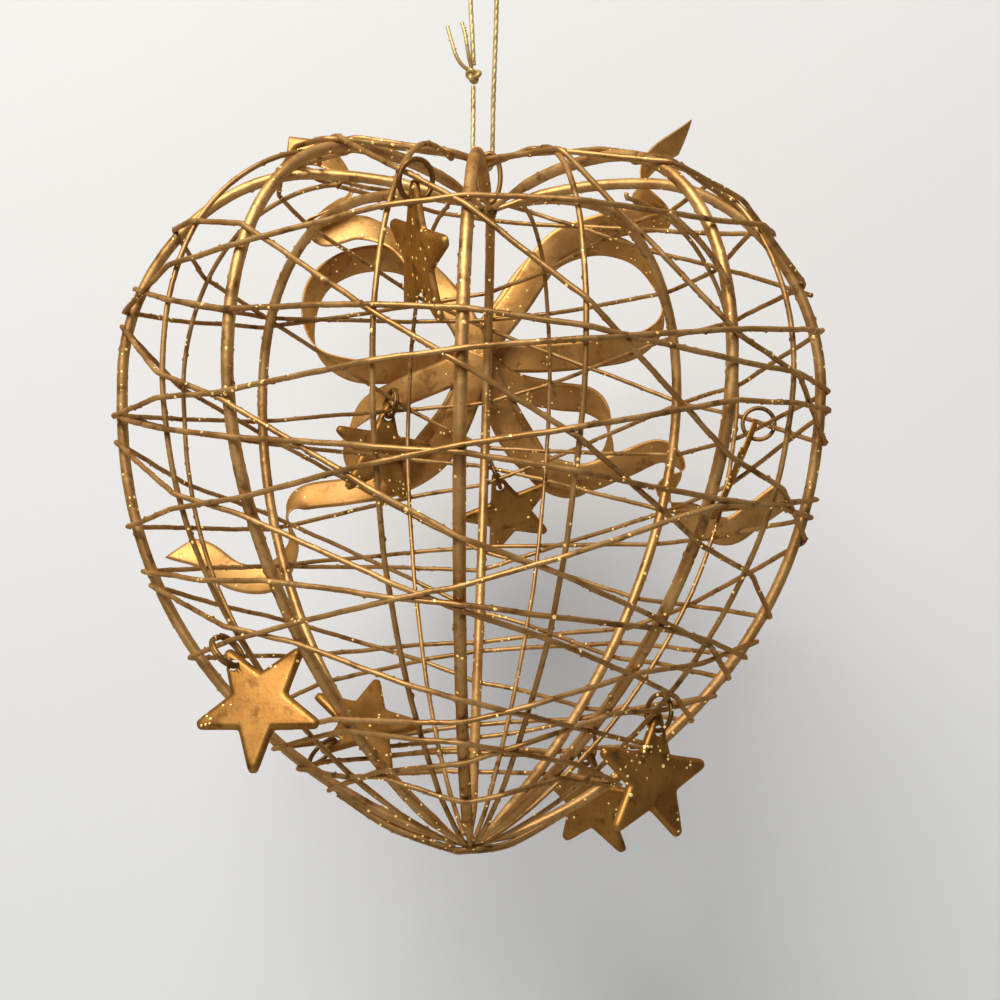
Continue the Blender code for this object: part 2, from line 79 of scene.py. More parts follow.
# Each rib: its azimuth, its reach at the belly, how full its shoulder, flank and foot are, and how
# far its crest stays below the highest one
ribs = {
    "rib_left": (180.0, 61.5, 1.9, 2.4, 1.37, 0.0),
    "rib_front_left": (225.0, 52.0, 2.3, 1.77, 1.2, 0.0),
    "rib_front": (267.4, 52.0, 2.2, 1.8, 1.2, 2.6),
    "rib_front_right": (315.0, 51.7, 2.15, 1.84, 1.12, 0.0),
    "rib_right": (360.0, 57.5, 1.9, 2.2, 1.38, 0.0),
    "rib_back_right": (405.0, 53.0, 2.1, 1.86, 1.23, 0.0),
    "rib_back": (450.0, 53.0, 2.1, 1.9, 1.3, 0.0),
    "rib_back_left": (500.0, 57.0, 2.2, 1.93, 1.49, 0.0),
}
ribWire = {
    "radius": 0.95,
    "tip": 0.45,
    "taper": 9.0,
    "clear": 1.2,
    "sides": 14,
    "stations": 420,
    "lumps": 0.035,
    "seed": 10,
}
# Each upright: its azimuth and the elevations of its two ends
uprights = {
    "upright_left_back": (159.0, -74.0, 50.0),
    "upright_left_front": (210.0, -75.0, 52.0),
    "upright_front_left": (254.0, -75.0, 57.0),
    "upright_front_right": (286.0, -74.0, 54.0),
    "upright_right_front": (331.0, -75.0, 52.0),
    "upright_right_back": (30.0, -75.0, 50.0),
    "upright_back_right": (76.0, -75.0, 52.0),
    "upright_back_left": (107.0, -74.0, 51.0),
}
# Thin wire: seat is how far outside the cage's outline the winding runs, and each further length is
# stacked a little more. The uprights run on towards the foot, and end in a hook.
thinWire = {
    "radius": 0.43,
    "sides": 10,
    "step": 0.45,
    "wander": 0.16,
    "seat": 1.42,
    "stacked": 0.12,
    "straySeat": 1.52,
    "bend": 1.6,
    "hook": 0.55,
    "hookTurn": 120.0,
    "footward": 13.0,
    "uprightSeed": 20,
    "windingSeed": 40,
}
# The winding wire: the rib that each length starts at, then the elevation at every next rib
winding = (
    (0, (46, 58, 60, 54, 31, 23, 18, 14)
        + (13, 7, 6, 1, 0, -11, -10, 14)
        + (24, 21, -2, -29, -38, -42, -33, -8)
        + (7, -7, -28, -43, -49, -54, -46, -24)
        + (-11, -26, -40, -53, -57, -64, -60, -45)
        + (-33, -48, -56, -64, -62, -72, -72, -70)
        + (-66, -73, -76, -73, -70, -76, -76, -73)
        + (-71, -72, -68, -60, -52, -66, -68, -67)
        + (-62, -64, -64, -70, -70)),
    (0, (44, 50, 59, 5, -9, 0, 16, 34)
        + (44, 44, 64, 38, 18, 14, 0, -6)
        + (-7, -13, -15, -21, -21, -30, -32, -34)
        + (-31, -37, -39, -44, -45, -51, -54, -56)
        + (-58, -62, -60, -52, -42)),
    (0, (50, 46, 22, -14, -25, -48, -52, -51)
        + (-45, -45, -36, -22, -18, -23, -14, -10)
        + (-7, -6, 0, 6, 10, 0, -18, -27)
        + (-24, -23, -14, -5, -3, -23, -37, -34)
        + (-31,)),
    (4, (42, 40, 24, 12)
        + (9, 17, 24, 24, 28, 38, 43, 47)
        + (46,)),
    (4, (16, 32, 52, 50)
        + (46,)),
)
# Further lengths of thin wire, as (azimuth, elevation) along each
strays = (
    ((500, -68), (487, -69), (459, -70), (430, -69), (406, -66), (392, -61)),
    ((495, -70), (460, -72), (426, -73), (396, -70)),
    ((303, 24), (305, 22), (308, 19.5), (311, 16), (313, 13)),
)
# The hoop under the foot: right of and above the foot, then each wire's place behind and drop
hoop = (
    (-22.9, 8.6), (-13.7, 3.0), (-3.4, -0.4), (-0.8, -0.6),
    (5.1, 0.2), (9.5, 2.2), (16.9, 7.0), (24.0, 12.1),
)
hoopWires = ((-0.5, 0.0), (0.5, -0.7))
# The dried paint on the wires: the lumps all over, and the share and height of the grains
driedPaint = {"lumps": 0.014, "share": 0.012, "grains": (0.10, 0.26)}
# The loose glitter on the winding: how many grains, their sizes, and how deep they sit in the wire
glitter = {"count": 2600, "sizes": (0.12, 0.32), "depth": 0.95, "seed": 7}
# Each blob of solder: its height on the cage, its radius, its own height and its seed
beads = {"top_joint": (cage["joint"], 1.4, 1.9, 3), "bottom_joint": (0, 1.4, 1.2, 4)}
bead = {"rows": 18, "columns": 28, "swells": (0.10, 0.07, 0.05)}
eye = {
    "halfWidth": 1.9,
    "halfHeight": 4.2,
    "middle": 113.68,
    "radius": 0.43,
    "sides": 12,
    "stations": 90,
}
starTin = {
    "radius": 10.6,
    "waist": 0.46,
    "tipWidth": 1.6,
    "tipCut": 0.4,
    "tipSoftness": 3.0,
    "waistSoftness": 0.07,
    "depth": 1.1,
    "flange": 0.95,
    "sheet": 0.3,
    "dome": 0.3,
    "holeInset": 3.1,
    "holeRadius": 0.9,
    "holeSides": 20,
    "columns": 260,
}
ring = {
    "radius": 2.9,
    "wire": 0.4,
    "sides": 10,
    "stations": 72,
    "spacing": 0.75,
    "double": ("star_a", "star_h"),
}
# Each star: the azimuth and elevation of the place on the cage that it hangs at, the hole in its
# top tip from there, its three turns, and how far its ring is tilted and leans out
stars = {
    "star_a": (202, -47, (2.0, -3.8, -1.8), (67, -38, -1), 18, -1),
    "star_b": (163, -67, (2.0, 1.7, 1.6), (-28, -36, 152), 0, -9),
    "star_c": (334, -58, (-0.3, -0.6, -3.2), (83, 9, 29), -6, 3),
    "star_d": (36, -69, (1.3, 1.4, -4.7), (103, 2, -34), 0, 0),
    "star_e": (87, -16, (0.5, 4.1, -2.4), (125, -23, 3), 2, 0),
    "star_f": (257, 29, (0.2, 0.4, -2.9), (103, 16, -63), -14, -8),
    "star_g": (21, -5, (-2.8, -0.7, -2.3), (112, 5, 83), -2, 13),
    "star_h": (111, -1, (-0.8, 1.9, -2.6), (86, 8, 20), -8, 17),
}
# The slant of an end that is cut aslant begins at the last of the strip's cadSteps
ribbon = {
    "width": 6.1,
    "thickness": 0.3,
    "cup": 0.25,
    "stations": 170,
    "across": 9,
    "cadSteps": 15,
}
bow = {"azimuth": 92.1, "elevation": 11.0, "standoff": 4.4}
endSlants = {"tail_upper_right": 5.0, "tail_lower_left": 4.0}
# Each strip: right of, behind and above the bow's centre, and its roll
strips = {
    "loop_upper_left": (
        (1.0, 6.0, 0.4, 178), (-9.0, 6.6, -2.5, 165), (-18.0, 7.4, -4.0, 150),
        (-27.4, 8.6, -4.0, 135), (-34.7, 9.8, -0.2, 100), (-37.0, 10.8, 7.1, 70),
        (-35.2, 11.2, 14.4, 50), (-29.4, 11.0, 18.9, 38), (-21.7, 9.8, 20.3, 32),
        (-14.6, 8.6, 18.7, 25), (-8.4, 7.6, 13.0, 10), (-1.4, 6.8, 3.6, 0),
    ),
    "loop_upper_right": (
        (-0.5, 4.5, 1.5, 0), (5.5, 5.4, 9.2, 0), (10.5, 7.0, 16.9, 5),
        (16.8, 8.8, 22.7, 20), (25.5, 10.4, 24.8, 45), (33.9, 11.8, 22.2, 65),
        (39.0, 12.6, 15.1, 85), (39.1, 11.6, 7.8, 110), (33.6, 9.6, 2.9, 140),
        (25.0, 7.8, 0.9, 165), (14.2, 6.2, -0.6, 175), (2.0, 5.3, -1.0, 180),
    ),
    "loop_lower_left": (
        (0.5, 1.5, -1.6, 0), (-7.9, 2.5, -5.5, 0), (-16.4, 5.2, -9.0, 10),
        (-23.9, 9.0, -12.2, 40), (-27.7, 11.6, -17.4, 85), (-26.9, 12.0, -23.4, 120),
        (-21.3, 11.6, -26.5, 150), (-14.3, 9.2, -24.2, 175), (-9.3, 6.2, -18.7, 185),
        (-4.5, 3.7, -12.3, 183), (-1.1, 2.55, -5.0, 180),
    ),
    "loop_lower_right": (
        (-0.8, 3.1, -1.0, 0), (7.0, 3.7, -6.7, 0), (16.6, 5.6, -8.6, 10),
        (24.1, 7.6, -9.6, 30), (28.2, 8.6, -15.0, 90), (27.6, 9.2, -22.3, 125),
        (21.5, 9.0, -27.4, 150), (15.0, 8.0, -25.5, 165), (10.5, 6.5, -19.2, 178),
        (6.1, 4.9, -12.4, 180), (1.9, 4.0, -4.6, 180),
    ),
    "tail_upper_left": (
        (0.6, -0.05, -1.1, 0), (-5.1, 0.8, 8.6, 2), (-11.7, 3.0, 16.7, 30),
        (-18.2, 4.0, 22.9, 50), (-26.0, 4.8, 26.0, 25), (-33.4, 4.6, 24.1, 32),
        (-36.6, 3.6, 26.4, 88), (-33.3, 3.6, 28.9, 108), (-28.6, 4.6, 32.6, 112),
        (-29.5, 5.6, 37.0, 72), (-35.2, 6.6, 41.6, 25), (-42.2, 7.0, 42.4, 0),
    ),
    "tail_upper_right": (
        (-0.9, 0.75, -1.0, 0), (7.5, 2.6, 10.3, 2), (15.8, 4.4, 22.9, 15),
        (25.5, 5.2, 27.4, 30), (34.1, 5.6, 29.4, 30), (39.6, 5.2, 28.6, 82),
        (38.4, 4.6, 31.0, 102), (33.8, 3.6, 33.9, 125), (33.4, 4.0, 37.6, 80),
        (36.4, 6.0, 42.6, 55), (43.0, 8.0, 47.8, 50),
    ),
    "tail_lower_left": (
        (0.9, -1.6, -1.0, 0), (-6.4, 0.6, -19.8, 0), (-15.9, 4.2, -27.4, 10),
        (-26.5, 5.4, -30.1, 20), (-35.9, 4.6, -31.8, 30), (-39.5, 3.6, -35.5, 80),
        (-38.2, 3.6, -42.5, 60), (-42.8, 4.6, -49.0, 20), (-50.5, 5.0, -48.9, 10),
        (-57.0, 5.4, -44.8, 20), (-62.6, 6.0, -43.3, 30),
    ),
    "tail_lower_right": (
        (-0.2, -0.75, -1.0, 0), (9.5, 2.4, -20.3, 0), (21.4, 4.6, -25.9, 10),
        (31.0, 5.6, -23.1, 20), (39.2, 4.6, -19.9, 40), (43.9, 3.6, -23.6, 90),
        (40.2, 3.6, -28.4, 130), (46.0, 4.0, -33.3, 30), (53.7, 5.0, -36.5, 10),
        (60.0, 5.6, -32.7, 20), (65.8, 6.0, -28.3, 10),
    ),
}
cord = {
    "radius": 0.42,
    "pitch": 1.65,
    "groove": 0.16,
    "sides": 20,
    "step": 0.12,
    "exit": (-1.1, -0.6, -18.5),
}
# The cord's route from the knot, down through the eye, up over the top and back to the knot
cordRoute = (
    (-1.05, -0.6, -22.1), (-0.95, -0.9, -25.5), (-0.85, -1.3, -30.0), (-0.8, -1.5, -32.5),
    (-0.1, -1.6, -34.5), (1.1, -1.15, -35.7), (1.9, 0.0, -36.0), (2.4, 1.15, -35.1),
    (2.5, 1.5, -33.0), (2.47, 1.3, -30.0), (2.42, 0.9, -24.0), (2.48, 0.6, -16.0),
    (2.5, 0.3, -8.0), (2.3, 0.1, -3.4), (1.6, 0.0, -0.9), (0.25, 0.0, 0.45),
    (-1.2, 0.0, -0.9), (-1.9, -0.1, -3.4), (-1.9, -0.3, -8.0), (-1.5, -0.5, -13.0),
    (-1.1, -0.6, -18.5),
)
knot = {
    "centre": (-1.05, -0.6, -20.3),
    "width": 3.0,
    "height": 2.9,
    "weave": 0.55,
    "swell": 1.05,
    "endShare": 0.8,
}
# The free ends of the knot, from it upwards
cordEnds = (
    (
        (-1.6, -0.8, -19.6), (-3.0, -1.3, -18.8), (-4.1, -1.5, -17.2),
        (-5.0, -1.3, -14.6), (-5.7, -1.0, -12.2),
    ),
    (
        (-1.4, -1.1, -19.2), (-1.9, -1.7, -17.6), (-2.3, -1.9, -15.4),
        (-2.7, -1.7, -13.4), (-3.3, -1.5, -11.6),
    ),
)
# Each gold paint: its light, dark and worn tones, its roughness, how metallic it is, its share of
# specks and the strength of the specks' emission, a painted glint of light
paints = {
    "rib_paint": (
        (0.60, 0.35, 0.13), (0.43, 0.22, 0.07), (0.13, 0.055, 0.016),
        0.47, 0.78, 0.05, 0.5,
    ),
    "thin_paint": (
        (0.52, 0.30, 0.11), (0.36, 0.185, 0.058), (0.10, 0.043, 0.013),
        0.49, 0.76, 0.05, 0.5,
    ),
    "star_paint": (
        (0.41, 0.20, 0.050), (0.31, 0.143, 0.034), (0.14, 0.058, 0.014),
        0.46, 0.88, 0.10, 0.5,
    ),
    "ribbon_gold": (
        (0.60, 0.33, 0.11), (0.46, 0.225, 0.06), (0.27, 0.115, 0.03),
        0.52, 0.85, 0.035, 0.5,
    ),
    "solder_paint": (
        (0.30, 0.155, 0.045), (0.16, 0.08, 0.024), (0.06, 0.027, 0.008),
        0.45, 0.8, 0.04, 0.5,
    ),
    "cord_thread": (
        (0.66, 0.50, 0.23), (0.48, 0.34, 0.13), (0.30, 0.19, 0.06),
        0.42, 0.45, 0.03, 0.15,
    ),
    "grain_gold": (
        (0.85, 0.55, 0.16), (0.26, 0.12, 0.03), (0.07, 0.03, 0.01),
        0.35, 0.8, 0.20, 0.5,
    ),
}
# What the gold paints share: the scales of their noises and specks, per metre, the specks' colour
# and the colour of their emission, a painted glint, how far the specks stand out next to the grain,
# and the relief in metres
paintGrain = {
    "slow": 130.0,
    "fine": 1400.0,
    "patch": 330.0,
    "crowd": 55.0,
    "smallSpecks": (1500.0, 0.42),
    "largeSpecks": (950.0, 0.34),
    "speck": (1.0, 0.72, 0.26),
    "paintedGlintColour": (1.0, 0.70, 0.22),
    "gloss": 0.2,
    "grain": 0.35,
    "raised": 0.6,
    "relief": 0.00012,
    "specular": 0.2,
    "specularTint": (0.45, 0.28, 0.12),
}


def cageSizes(azimuth):
    rows = np.array(list(ribs.values()))
    turn = (azimuth - rows[0, 0]) % 360 + rows[0, 0]
    angles = np.append(rows[:, 0], rows[0, 0] + 360)
    return [np.interp(turn, angles, np.append(column, column[0])) for column in rows[:, 1:].T]


# Radius and height along a rib, three curves end to end: a power curve from foot to belly, one
# from belly to crest, and a bend in and down to the joint.
def ribProfile(azimuth, low, high, inner):
    reach, shoulder, flank, foot, drop = cageSizes(azimuth)
    crest, top = cage["crestShare"] * reach, cage["crest"] - drop
    rise = top - cage["belly"]
    turn = np.linspace(0, math.pi / 2, low)
    s, c = np.sin(turn), np.maximum(np.cos(turn), 0)
    first = np.column_stack([reach * s ** (2 / foot), cage["belly"] * (1 - c ** (2 / flank))])
    turn = np.linspace(0, math.pi / 2, high)
    s, c = np.sin(turn), np.maximum(np.cos(turn), 0)
    second = np.column_stack(
        [crest + (reach - crest) * c ** (2 / shoulder), cage["belly"] + rise * s ** (2 / shoulder)]
    )
    t = np.linspace(0, 1, inner)
    dip = (top - cage["joint"]) * (1 - t ** cage["dimplePower"])
    third = np.column_stack([crest * (1 - t), cage["joint"] + dip])
    return np.vstack([first, second[1:], third[1:]])


def standUp(flat, azimuth):
    turn = np.radians(azimuth)
    return np.column_stack([flat[:, 0] * np.cos(turn), flat[:, 0] * np.sin(turn), flat[:, 1]])


# Places on the cage at one azimuth, by elevation seen from the belly's centre, lifted outwards
def onCage(azimuth, elevations, lift):
    curve = ribProfile(azimuth, 200, 200, 100)
    turns = np.degrees(np.arctan2(curve[:, 1] - cage["belly"], curve[:, 0]))
    turns = np.maximum.accumulate(turns)
    elevations = np.atleast_1d(elevations).astype(float)

    def at(e):
        return np.column_stack([np.interp(e, turns, curve[:, i]) for i in (0, 1)])

    along = at(elevations + 1) - at(elevations - 1)
    along /= np.linalg.norm(along, axis=1)[:, None]
    flat = at(elevations) + lift * np.column_stack([along[:, 1], -along[:, 0]])
    return standUp(flat, azimuth)


def reachAlong(path):
    return np.append(0, np.cumsum(np.linalg.norm(np.diff(path[:, :3], axis=0), axis=1)))


# Points at even steps along a path, then each replaced by the mean of its neighbours, which
# rounds the bends
def evenPath(path, step, rounding=0):
    reach = reachAlong(path)
    count = max(2, int(round(reach[-1] / step)) + 1)
    at = np.linspace(0, reach[-1], count)
    even = np.column_stack([np.interp(at, reach, path[:, i]) for i in range(path.shape[1])])
    if rounding:
        half = max(1, int(round(rounding / step)))
        kernel = np.hanning(2 * half + 3)[1:-1]
        kernel /= kernel.sum()
        padded = np.vstack([np.repeat(even[:1], half, 0), even, np.repeat(even[-1:], half, 0)])
        even = np.column_stack([np.convolve(column, kernel, "valid") for column in padded.T])
    return even


# A smooth curve through the rows: between two of them, the cubic whose slope at each is half
# the step from the row before it to the row after it
def smoothThrough(rows, count):
    rows = np.array(rows, float)
    ends = np.vstack([2 * rows[0] - rows[1], rows, 2 * rows[-1] - rows[-2]])
    t = np.linspace(0, 1, 24, endpoint=False)[None, :, None]
    a, b, c, d = (ends[i : len(ends) - 3 + i, None, :] for i in range(4))
    dense = b + t * (c - a) / 2 + t**2 * (a - 2.5 * b + 2 * c - d / 2)
    dense = dense + t**3 * (1.5 * (b - c) + (d - a) / 2)
    dense = np.vstack([dense.reshape(-1, rows.shape[1]), rows[-1:]])
    reach = reachAlong(dense)
    at = np.linspace(0, reach[-1], count)
    return np.column_stack([np.interp(at, reach, dense[:, i]) for i in range(rows.shape[1])])


def tangents(path, closed=False):
    if closed:
        along = np.roll(path, -1, axis=0) - np.roll(path, 1, axis=0)
    else:
        along = np.gradient(path, axis=0)
    return along / np.linalg.norm(along, axis=1)[:, None]


# Faces of a grid of rows by columns, wrapped round its columns, and round its rows where closed
def gridFaces(rows, columns, closed):
    i = np.arange(rows if closed else rows - 1)[:, None]
    j = np.arange(columns)[None, :]
    here, ahead = i * columns, (i + 1) % rows * columns
    nextColumn = (j + 1) % columns
    quads = [here + j, here + nextColumn, ahead + nextColumn, ahead + j]
    return np.stack(quads, axis=-1).reshape(-1, 4)


# The same for an open grid whose points start at first, with a flat face over each end
def cappedFaces(rows, columns, first=0):
    last = first + (rows - 1) * columns
    ends = [list(range(first, first + columns))[::-1], list(range(last, last + columns))]
    return (gridFaces(rows, columns, False) + first).tolist() + ends


def addPiece(name, points, faces, look, smooth=True):
    mesh = bpy.data.meshes.new(name)
    mesh.from_pydata((np.asarray(points) * mm).tolist(), [], faces)
    mesh.polygons.foreach_set("use_smooth", np.full(len(mesh.polygons), smooth))
    mesh.materials.append(look)
    mesh.update()
    piece = bpy.data.objects.new(name, mesh)
    bpy.context.scene.collection.objects.link(piece)
    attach(piece, "root")
    return piece


# A tube: at each place on the path, a ring of points at the radius, which may change along the
# path and round it. up is the way that the ring's first point looks.
def tubeGrid(path, radius, sides, up, closed=False):
    along = tangents(path, closed)
    up = np.broadcast_to(np.asarray(up, float), path.shape)
    out = up - (up * along).sum(1)[:, None] * along
    out /= np.linalg.norm(out, axis=1)[:, None]
    side = np.cross(along, out)
    turn = np.linspace(0, 2 * math.pi, sides, endpoint=False)[None, :, None]
    radius = np.broadcast_to(np.asarray(radius, float), (len(path), sides))
    circle = out[:, None] * np.cos(turn) + side[:, None] * np.sin(turn)
    return (path[:, None] + circle * radius[:, :, None]).reshape(-1, 3)


# A wire's radius at each place on the path and round it: small random lumps with a few grains of
# dried paint standing out
def lumpy(radius, rows, sides, seed):
    dice = np.random.default_rng(seed)
    lumps = dice.normal(0, driedPaint["lumps"], (rows, sides))
    chosen = dice.random((rows, sides)) < driedPaint["share"]
    grains = chosen * dice.uniform(*driedPaint["grains"], (rows, sides))
    return np.reshape(radius, (-1, 1)) + lumps + grains


def tube(name, path, radius, sides, up, look, closed=False):
    points = tubeGrid(path, radius, sides, up, closed)
    if closed:
        faces = gridFaces(len(path), sides, True).tolist()
    else:
        faces = cappedFaces(len(path), sides)
    return addPiece(name, points, faces, look)


# Several tubes as one piece
def tubes(name, paths, radius, sides, ups, look):
    points, faces, first = [], [], 0
    for path, up in zip(paths, ups):
        points.append(tubeGrid(path, lumpy(radius, len(path), sides, len(path)), sides, up))
        faces += cappedFaces(len(path), sides, first)
        first += len(path) * sides
    return addPiece(name, np.vstack(points), faces, look)


# A slow random wander: a few sine waves of random phase, one sum for each axis
def wander(reach, size, seed, shortest=6.0, longest=40.0, waves=6):
    dice = np.random.default_rng(seed)
    lengths = np.geomspace(shortest, longest, waves)
    phases = dice.uniform(0, 2 * math.pi, (waves, 3))
    weights = (lengths / longest) ** 0.5
    sums = np.sin(2 * math.pi * reach[:, None, None] / lengths[:, None] + phases) * weights[:, None]
    return size * sums.sum(1) / weights.sum()


def inRow(points):
    return np.asarray(points) + np.array([hang["aside"], 0, -hang["drop"]])


def outwards(path):
    middle = inRow([(0, 0, cage["belly"])])
    return path - middle


# An output socket, on which + - * add Math nodes
class Value:
    def __init__(self, look, socket):
        self.look, self.socket = look, socket

    def math(self, operation, *others):
        values = dict(enumerate((self, *others)))
        return self.look.node("ShaderNodeMath", {"operation": operation}, values)

    def __add__(self, other):
        return self.math("ADD", other)

    def __sub__(self, other):
        return self.math("SUBTRACT", other)

    def __rsub__(self, other):
        return self.look.node("ShaderNodeMath", {"operation": "SUBTRACT"}, {0: other, 1: self})

    def __mul__(self, other):
        return self.math("MULTIPLY", other)

    def below(self, edge):
        return self.math("LESS_THAN", edge)

    def ramp(self, low, high, start=0.0, end=1.0):
        return self.look.node(
            "ShaderNodeMapRange",
            {"interpolation_type": "SMOOTHSTEP"},
            {"Value": self, "From Min": low, "From Max": high, "To Min": start, "To Max": end},
        )

    __radd__ = __add__
    __rmul__ = __mul__


# A material and the nodes of its surface
class Look:
    def __init__(self, name):
        self.material = bpy.data.materials.new(name)
        self.material.use_nodes = True
        self.tree = self.material.node_tree
        self.shader = self.tree.nodes["Principled BSDF"]

    # One node: its kind, its settings, then its inputs by name or number. Gives its output.
    def node(self, kind, settings=None, inputs=None, output=0):
        made = self.tree.nodes.new(kind)
        for key, value in (settings or {}).items():
            setattr(made, key, value)
        for key, value in (inputs or {}).items():
            self.put(made.inputs[key], value)
        return Value(self, made.outputs[output])

    def put(self, socket, value):
        if isinstance(value, Value):
            self.tree.links.new(value.socket, socket)
        else:
            socket.default_value = value

    # The surface's own inputs, by name
    def surface(self, inputs):
        for key, value in inputs.items():
            self.put(self.shader.inputs[key], value)

    def mix(self, factor, first, second):
        made = self.tree.nodes.new("ShaderNodeMix")
        made.data_type = "RGBA"
        for index, value in ((0, factor), (6, first), (7, second)):
            if isinstance(value, tuple):
                value = (*value, 1.0)
            self.put(made.inputs[index], value)
        return Value(self, made.outputs[2])

    def noise(self, scale, detail=3.0, roughness=0.55):
        place = self.node("ShaderNodeTexCoord", output=3)
        inputs = {"Vector": place, "Scale": scale, "Detail": detail, "Roughness": roughness}
        return self.node("ShaderNodeTexNoise", {}, inputs)

    # Spots, one in some of the cells of a cell pattern: where the cell's own number is under
    # share, the place is nearer than size to the cell's middle
    def spots(self, scale, size, share):
        place = self.node("ShaderNodeTexCoord", output=3)
        cell = self.tree.nodes.new("ShaderNodeTexVoronoi")
        self.put(cell.inputs["Vector"], place)
        cell.inputs["Scale"].default_value = scale
        distance = Value(self, cell.outputs["Distance"])
        number = self.node("ShaderNodeSeparateColor", {}, {0: Value(self, cell.outputs["Color"])})
        return distance.ramp(size, size * 0.6) * number.below(share)


# Gold paint on metal: a light and a dark tone mixed by a slow noise, worn dark in patches, with
# glitter specks that are brighter, smoother and slightly raised, more of them in some places, and
# that give off light as a painted glint
def goldPaint(name):
    light, dark, worn, roughness, metallic, specks, paintedGlintStrength = paints[name]
    look = Look(name)
    slow = look.noise(paintGrain["slow"], 4.0)
    fine = look.noise(paintGrain["fine"], 3.0, 0.65)
    patch = look.noise(paintGrain["patch"], 4.0, 0.6)
    crowd = look.noise(paintGrain["crowd"], 2.0)
    body = look.mix(slow.ramp(0.36, 0.64), dark, light)
    body = look.mix(patch.ramp(0.54, 0.70) * 0.7, body, worn)
    body = look.mix(fine.ramp(0.56, 0.74) * 0.45, body, worn)
    share = crowd.ramp(0.45, 0.72, specks * 0.15, specks * 3.0)
    small = look.spots(*paintGrain["smallSpecks"], share)
    both = small.math("MAXIMUM", look.spots(*paintGrain["largeSpecks"], share * 0.4))
    body = look.mix(both, body, paintGrain["speck"])
    matt = slow.ramp(0.3, 0.7, roughness - 0.06, roughness + 0.08)
    height = fine * paintGrain["grain"] + both * paintGrain["raised"]
    inputs = {"Strength": 0.6, "Distance": paintGrain["relief"], "Height": height}
    look.surface(
        {
            "Base Color": body,
            "Roughness": matt - both * paintGrain["gloss"],
            "Metallic": metallic,
            "Specular IOR Level": paintGrain["specular"],
            "Specular Tint": (*paintGrain["specularTint"], 1.0),
            # The specks' emission is a painted glint: they give off light though they are no lamp
            "Emission Color": look.mix(both, (0, 0, 0), paintGrain["paintedGlintColour"]),
            "Emission Strength": paintedGlintStrength,
            "Normal": look.node("ShaderNodeBump", {}, inputs),
        }
    )
    return look.material


ribLook = goldPaint("rib_paint")
thinLook = goldPaint("thin_paint")
starLook = goldPaint("star_paint")
ribbonLook = goldPaint("ribbon_gold")
jointLook = goldPaint("solder_paint")
cordLook = goldPaint("cord_thread")
grainLook = goldPaint("grain_gold")
print("looks made")


# A rib: the profile, thinned towards both ends, with slow lumps along it
def makeRib(name, seed):
    azimuth = ribs[name][0]
    flat = ribProfile(azimuth, 300, 300, 160)
    flat = flat[flat[:, 0] > ribWire["clear"]]
    path = evenPath(inRow(standUp(flat, azimuth)), reachAlong(flat)[-1] / ribWire["stations"])
    reach = reachAlong(path)
    fromAxis = np.hypot(path[:, 0] - hang["aside"], path[:, 1])
    scale = np.clip(fromAxis / ribWire["taper"], ribWire["tip"] / ribWire["radius"], 1)
    lump = 1 + wander(reach, ribWire["lumps"], seed, 2.0, 12.0)[:, 0]
    radius = lumpy(ribWire["radius"] * scale * lump, len(path), ribWire["sides"], seed)
    piece = tube(name + "_wire", path, radius, ribWire["sides"], outwards(path), ribLook)
    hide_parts(name)


# An upright: along the cage just inside the winding, with a hook turned outwards at the top
def makeUpright(name, seed):
    azimuth, low, high = uprights[name]
    low -= thinWire["footward"]
    lift = ribWire["radius"] - thinWire["radius"]
    path = inRow(onCage(azimuth, np.linspace(low, high, 200), lift))
    path = evenPath(path, thinWire["step"])
    reach = reachAlong(path)
    path = path + wander(reach, thinWire["wander"], seed, 12.0, 60.0)
    along = path[-1] - path[-3]
    along /= np.linalg.norm(along)
    out = outwards(path)[-1]
    out -= out @ along * along
    out /= np.linalg.norm(out)
    turn = np.linspace(0, math.radians(thinWire["hookTurn"]), 12)[1:, None]
    hook = path[-1] + thinWire["hook"] * (along * np.sin(turn) + out * (1 - np.cos(turn)))
    path = np.vstack([path, hook])
    radius = lumpy(thinWire["radius"], len(path), thinWire["sides"], seed)
    piece = tube(name + "_wire", path, radius, thinWire["sides"], np.cross(along, out), thinLook)
    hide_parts(name)


# One length of winding: straight between the ribs and uprights that it bends over
def windingPath(start, elevations, lift, seed):
    turns = [row[0] for row in ribs.values()]
    rounds = [divmod(start + i, len(turns)) for i in range(len(elevations))]
    stations = [turns[rib] + 360 * whole for whole, rib in rounds]
    crossed = {row[0] + 360 * k for row in uprights.values() for k in range(rounds[-1][0] + 2)}
    bends = sorted({a for a in crossed if stations[0] < a < stations[-1]} | set(stations))
    heights = np.interp(bends, stations, elevations)
    path = np.vstack([onCage(a, e, lift) for a, e in zip(bends, heights)])
    path = evenPath(inRow(path), thinWire["step"], thinWire["bend"])
    return path + wander(reachAlong(path), thinWire["wander"], seed, 5.0, 50.0)


def makeWinding():
    paths = []
    for i, (start, elevations) in enumerate(winding):
        lift = thinWire["seat"] + thinWire["stacked"] * i
        paths.append(windingPath(start, elevations, lift, thinWire["windingSeed"] + i))
    for way in strays:
        places = np.vstack([onCage(a % 360, e, thinWire["straySeat"]) for a, e in way])
        paths.append(evenPath(inRow(smoothThrough(places, 60)), thinWire["step"]))
    ups = [outwards(path) for path in paths]
    piece = tubes("winding", paths, thinWire["radius"], thinWire["sides"], ups, thinLook)
    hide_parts("winding_wire")
    return paths


# The hoop: two wires side by side under the foot
def makeHoop():
    flat = smoothThrough(hoop, 90)
    paths = []
    for shift, drop in hoopWires:
        path = np.column_stack([flat[:, 0], np.full(len(flat), shift), flat[:, 1] + drop])
        paths.append(evenPath(inRow(path), thinWire["step"]))
    tubes("foot_hoop", paths, thinWire["radius"], thinWire["sides"], [(0, 1, 0)] * 2, thinLook)


